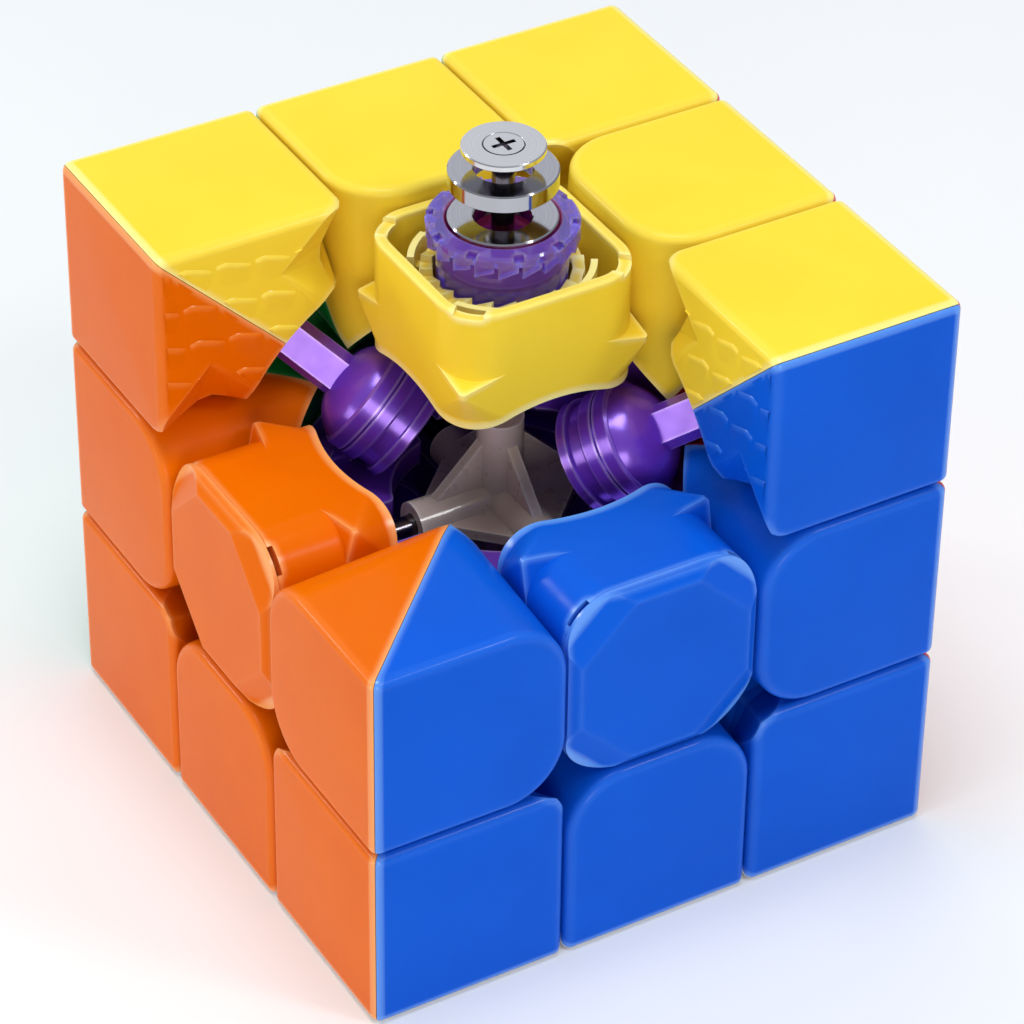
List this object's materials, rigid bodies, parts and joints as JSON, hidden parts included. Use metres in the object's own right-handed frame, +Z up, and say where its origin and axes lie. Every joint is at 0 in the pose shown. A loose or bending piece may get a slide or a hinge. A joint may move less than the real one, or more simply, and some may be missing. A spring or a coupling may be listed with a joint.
{
  "type": "twisty puzzle cube",
  "caption": "Magnetic speed puzzle cube with its upper front corner taken off to show core, feet and shells, and the adjusting dial, ring magnets and screw drawn up.",
  "frame": {"origin": "middle of the cube's lower face, on the plane it rests on", "axes": "+Z up through the opened centre, +X out through the red face, +Y out through the green face; the taken-off corner is at -X -Y +Z"},
  "size_m": [0.056, 0.056, 0.0645],
  "materials": {
    "yellow_plastic": "solid-coloured satin moulding",
    "white_plastic": "solid-coloured satin moulding",
    "red_plastic": "solid-coloured satin moulding",
    "orange_plastic": "solid-coloured satin moulding",
    "green_plastic": "solid-coloured satin moulding",
    "blue_plastic": "solid-coloured satin moulding",
    "inner_plastic": "slick purple moulding",
    "dial_plastic": "slightly see-through purple",
    "core_plastic": "smoky see-through",
    "magnet_plating": "bright nickel plate",
    "screw_steel": "dark plated steel"
  },
  "bodies": {
    "core": {"core_spider": "core_plastic", "side_screws": "screw_steel", "side_ring_magnets": "magnet_plating"},
    "yellow_center": {"yellow_center_housing": "yellow_plastic"},
    "white_center": {"white_center_housing": "white_plastic", "white_center_dial": "dial_plastic"},
    "red_center": {"red_center_housing": "red_plastic", "red_center_dial": "dial_plastic"},
    "orange_center": {"orange_center_housing": "orange_plastic", "orange_center_dial": "dial_plastic"},
    "green_center": {"green_center_housing": "green_plastic", "green_center_dial": "dial_plastic"},
    "blue_center": {"blue_center_housing": "blue_plastic", "blue_center_dial": "dial_plastic"},
    "white_cap": {"white_center_cap": "white_plastic"},
    "red_cap": {"red_center_cap": "red_plastic"},
    "orange_cap": {"orange_center_cap": "orange_plastic"},
    "green_cap": {"green_center_cap": "green_plastic"},
    "blue_cap": {"blue_center_cap": "blue_plastic"},
    "top_sleeve": {"top_sleeve": "dial_plastic"},
    "top_dial": {"top_adjusting_dial": "dial_plastic"},
    "lower_magnet": {"top_lower_ring_magnet": "magnet_plating"},
    "upper_magnet": {"top_upper_ring_magnet": "magnet_plating"},
    "head_disc": {"top_head_disc": "magnet_plating"},
    "top_screw": {"top_screw": "screw_steel"},
    "yellow_red_edge": {"yellow_red_edge_shells": "yellow_plastic", "yellow_red_edge_foot": "inner_plastic"},
    "white_red_edge": {"white_red_edge_shells": "white_plastic", "white_red_edge_foot": "inner_plastic"},
    "white_orange_edge": {"white_orange_edge_shells": "white_plastic", "white_orange_edge_foot": "inner_plastic"},
    "yellow_green_edge": {"yellow_green_edge_shells": "yellow_plastic", "yellow_green_edge_foot": "inner_plastic"},
    "white_green_edge": {"white_green_edge_shells": "white_plastic", "white_green_edge_foot": "inner_plastic"},
    "white_blue_edge": {"white_blue_edge_shells": "white_plastic", "white_blue_edge_foot": "inner_plastic"},
    "red_green_edge": {"red_green_edge_shells": "red_plastic", "red_green_edge_foot": "inner_plastic"},
    "red_blue_edge": {"red_blue_edge_shells": "red_plastic", "red_blue_edge_foot": "inner_plastic"},
    "orange_green_edge": {"orange_green_edge_shells": "orange_plastic", "orange_green_edge_foot": "inner_plastic"},
    "orange_blue_edge": {"orange_blue_edge_shells": "orange_plastic", "orange_blue_edge_foot": "inner_plastic"},
    "yellow_red_green_corner": {"yellow_red_green_corner_shells": "yellow_plastic", "yellow_red_green_corner_foot": "inner_plastic"},
    "yellow_red_blue_corner": {"yellow_red_blue_corner_shells": "yellow_plastic", "yellow_red_blue_corner_foot": "inner_plastic"},
    "yellow_orange_green_corner": {"yellow_orange_green_corner_shells": "yellow_plastic", "yellow_orange_green_corner_foot": "inner_plastic"},
    "white_red_green_corner": {"white_red_green_corner_shells": "white_plastic", "white_red_green_corner_foot": "inner_plastic"},
    "white_red_blue_corner": {"white_red_blue_corner_shells": "white_plastic", "white_red_blue_corner_foot": "inner_plastic"},
    "white_orange_green_corner": {"white_orange_green_corner_shells": "white_plastic", "white_orange_green_corner_foot": "inner_plastic"},
    "white_orange_blue_corner": {"white_orange_blue_corner_shells": "white_plastic", "white_orange_blue_corner_foot": "inner_plastic"}
  },
  "joints": [
    {"name": "turn_yellow", "type": "hinge", "parent": "core", "child": "yellow_center", "pos_m": [0, 0, 0.028], "axis": [0, 0, 1], "continuous": true},
    {"name": "turn_white", "type": "hinge", "parent": "core", "child": "white_center", "pos_m": [0, 0, 0.028], "axis": [0, 0, 1], "continuous": true},
    {"name": "turn_red", "type": "hinge", "parent": "core", "child": "red_center", "pos_m": [0, 0, 0.028], "axis": [1, 0, 0], "continuous": true},
    {"name": "turn_orange", "type": "hinge", "parent": "core", "child": "orange_center", "pos_m": [0, 0, 0.028], "axis": [1, 0, 0], "continuous": true},
    {"name": "turn_green", "type": "hinge", "parent": "core", "child": "green_center", "pos_m": [0, 0, 0.028], "axis": [0, 1, 0], "continuous": true},
    {"name": "turn_blue", "type": "hinge", "parent": "core", "child": "blue_center", "pos_m": [0, 0, 0.028], "axis": [0, 1, 0], "continuous": true},
    {"name": "pull_white_cap", "type": "slide", "parent": "white_center", "child": "white_cap", "axis": [0, 0, -1], "range_m": [0, 0.012]},
    {"name": "pull_red_cap", "type": "slide", "parent": "red_center", "child": "red_cap", "axis": [1, 0, 0], "range_m": [0, 0.012]},
    {"name": "pull_orange_cap", "type": "slide", "parent": "orange_center", "child": "orange_cap", "axis": [-1, 0, 0], "range_m": [0, 0.012]},
    {"name": "pull_green_cap", "type": "slide", "parent": "green_center", "child": "green_cap", "axis": [0, 1, 0], "range_m": [0, 0.012]},
    {"name": "pull_blue_cap", "type": "slide", "parent": "blue_center", "child": "blue_cap", "axis": [0, -1, 0], "range_m": [0, 0.012]},
    {"name": "dial_lift", "type": "slide", "parent": "yellow_center", "child": "top_sleeve", "axis": [0, 0, 1], "range_m": [-0.0029, 0]},
    {"name": "dial_turn", "type": "hinge", "parent": "top_sleeve", "child": "top_dial", "pos_m": [0, 0, 0.0535], "axis": [0, 0, 1], "continuous": true},
    {"name": "lower_magnet_lift", "type": "slide", "parent": "top_sleeve", "child": "lower_magnet", "axis": [0, 0, 1], "range_m": [-0.0025, 0], "stiffness_N_per_m": 50, "springref_m": 0.0002},
    {"name": "upper_magnet_lift", "type": "slide", "parent": "lower_magnet", "child": "upper_magnet", "axis": [0, 0, 1], "range_m": [-0.00295, 0], "stiffness_N_per_m": 50, "springref_m": 0.0002},
    {"name": "head_disc_lift", "type": "slide", "parent": "upper_magnet", "child": "head_disc", "axis": [0, 0, 1], "range_m": [-0.0016, 0], "stiffness_N_per_m": 50, "springref_m": 0.0002},
    {"name": "screw_turn", "type": "hinge", "parent": "head_disc", "child": "top_screw", "pos_m": [0, 0, 0.0639], "axis": [0, 0, 1], "continuous": true},
    {"name": "yellow_red_edge_follow", "type": "hinge", "parent": "red_center", "child": "yellow_red_edge", "pos_m": [0, 0, 0.028], "axis": [0, 0, 1], "continuous": true},
    {"name": "white_red_edge_follow", "type": "hinge", "parent": "red_center", "child": "white_red_edge", "pos_m": [0, 0, 0.028], "axis": [0, 0, 1], "continuous": true},
    {"name": "white_orange_edge_follow", "type": "hinge", "parent": "orange_center", "child": "white_orange_edge", "pos_m": [0, 0, 0.028], "axis": [0, 0, 1], "continuous": true},
    {"name": "yellow_green_edge_follow", "type": "hinge", "parent": "yellow_center", "child": "yellow_green_edge", "pos_m": [0, 0, 0.028], "axis": [0, 1, 0], "continuous": true},
    {"name": "white_green_edge_follow", "type": "hinge", "parent": "white_center", "child": "white_green_edge", "pos_m": [0, 0, 0.028], "axis": [0, 1, 0], "continuous": true},
    {"name": "white_blue_edge_follow", "type": "hinge", "parent": "white_center", "child": "white_blue_edge", "pos_m": [0, 0, 0.028], "axis": [0, 1, 0], "continuous": true},
    {"name": "red_green_edge_follow", "type": "hinge", "parent": "green_center", "child": "red_green_edge", "pos_m": [0, 0, 0.028], "axis": [1, 0, 0], "continuous": true},
    {"name": "red_blue_edge_follow", "type": "hinge", "parent": "blue_center", "child": "red_blue_edge", "pos_m": [0, 0, 0.028], "axis": [1, 0, 0], "continuous": true},
    {"name": "orange_green_edge_follow", "type": "hinge", "parent": "green_center", "child": "orange_green_edge", "pos_m": [0, 0, 0.028], "axis": [1, 0, 0], "continuous": true},
    {"name": "orange_blue_edge_follow", "type": "hinge", "parent": "blue_center", "child": "orange_blue_edge", "pos_m": [0, 0, 0.028], "axis": [1, 0, 0], "continuous": true},
    {"name": "yellow_red_green_corner_follow", "type": "hinge", "parent": "red_green_edge", "child": "yellow_red_green_corner", "pos_m": [0, 0, 0.028], "axis": [0, 0, 1], "continuous": true},
    {"name": "yellow_red_blue_corner_follow", "type": "hinge", "parent": "red_blue_edge", "child": "yellow_red_blue_corner", "pos_m": [0, 0, 0.028], "axis": [0, 0, 1], "continuous": true},
    {"name": "yellow_orange_green_corner_follow", "type": "hinge", "parent": "orange_green_edge", "child": "yellow_orange_green_corner", "pos_m": [0, 0, 0.028], "axis": [0, 0, 1], "continuous": true},
    {"name": "white_red_green_corner_follow", "type": "hinge", "parent": "red_green_edge", "child": "white_red_green_corner", "pos_m": [0, 0, 0.028], "axis": [0, 0, 1], "continuous": true},
    {"name": "white_red_blue_corner_follow", "type": "hinge", "parent": "red_blue_edge", "child": "white_red_blue_corner", "pos_m": [0, 0, 0.028], "axis": [0, 0, 1], "continuous": true},
    {"name": "white_orange_green_corner_follow", "type": "hinge", "parent": "orange_green_edge", "child": "white_orange_green_corner", "pos_m": [0, 0, 0.028], "axis": [0, 0, 1], "continuous": true},
    {"name": "white_orange_blue_corner_follow", "type": "hinge", "parent": "orange_blue_edge", "child": "white_orange_blue_corner", "pos_m": [0, 0, 0.028], "axis": [0, 0, 1], "continuous": true}
  ],
  "couplings": [
    {"joint": "yellow_red_edge_follow", "follows": "turn_yellow", "ratio": 1},
    {"joint": "white_red_edge_follow", "follows": "turn_white", "ratio": 1},
    {"joint": "white_orange_edge_follow", "follows": "turn_white", "ratio": 1},
    {"joint": "yellow_green_edge_follow", "follows": "turn_green", "ratio": 1},
    {"joint": "white_green_edge_follow", "follows": "turn_green", "ratio": 1},
    {"joint": "white_blue_edge_follow", "follows": "turn_blue", "ratio": 1},
    {"joint": "red_green_edge_follow", "follows": "turn_red", "ratio": 1},
    {"joint": "red_blue_edge_follow", "follows": "turn_red", "ratio": 1},
    {"joint": "orange_green_edge_follow", "follows": "turn_orange", "ratio": 1},
    {"joint": "orange_blue_edge_follow", "follows": "turn_orange", "ratio": 1},
    {"joint": "yellow_red_green_corner_follow", "follows": "turn_yellow", "ratio": 1},
    {"joint": "yellow_red_blue_corner_follow", "follows": "turn_yellow", "ratio": 1},
    {"joint": "yellow_orange_green_corner_follow", "follows": "turn_yellow", "ratio": 1},
    {"joint": "white_red_green_corner_follow", "follows": "turn_white", "ratio": 1},
    {"joint": "white_red_blue_corner_follow", "follows": "turn_white", "ratio": 1},
    {"joint": "white_orange_green_corner_follow", "follows": "turn_white", "ratio": 1},
    {"joint": "white_orange_blue_corner_follow", "follows": "turn_white", "ratio": 1}
  ]
}
